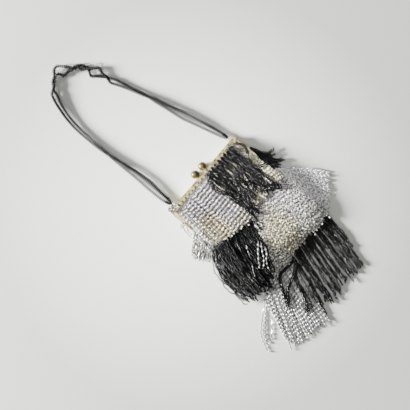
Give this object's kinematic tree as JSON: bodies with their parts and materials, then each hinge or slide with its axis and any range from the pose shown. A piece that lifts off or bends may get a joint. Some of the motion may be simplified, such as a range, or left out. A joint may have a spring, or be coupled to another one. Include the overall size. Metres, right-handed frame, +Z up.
{
  "type": "beaded evening bag",
  "caption": "Kiss-lock evening bag lying on its back, with a gilt frame, tiers of clear and black bead fringe and a looped handle of bead strings.",
  "frame": {"origin": "on the surface that the bag lies on, under the middle of the pouch's flat back", "axes": "+X across the bag to the viewer's right, +Y from the fringe's tips towards the handle, +Z up from the surface, out of the bag's front"},
  "size_m": [0.3167, 0.6459, 0.0326],
  "materials": {
    "gilt_frame": "pale gilt brass, worn bright on the edges",
    "knob": "bronze-brown enamelled balls, glossy",
    "pouch_cloth": "cream crepe sewn with beads",
    "clear_beads": "silver-lined and clear glass beads",
    "black_beads": "opaque black glass beads, glossy"
  },
  "bodies": {
    "root": {"frame_front": "gilt_frame", "frame_back": "gilt_frame", "knob_front": "knob", "knob_back": "knob", "hinge_rivet_left": "gilt_frame", "hinge_rivet_right": "gilt_frame", "pouch": "pouch_cloth", "upper_clear_fringe": "clear_beads", "upper_black_fringe": "black_beads", "middle_black_fringe": "black_beads", "middle_clear_fringe": "clear_beads", "lower_clear_fringe": "clear_beads", "lower_black_fringe": "black_beads", "left_seam_clear_fringe": "clear_beads", "right_seam_clear_fringe": "clear_beads", "right_seam_black_fringe": "black_beads", "handle_string_black_1": "black_beads", "handle_string_clear_1": "clear_beads", "handle_string_black_2": "black_beads", "handle_string_clear_2": "clear_beads"}
  },
  "joints": []
}
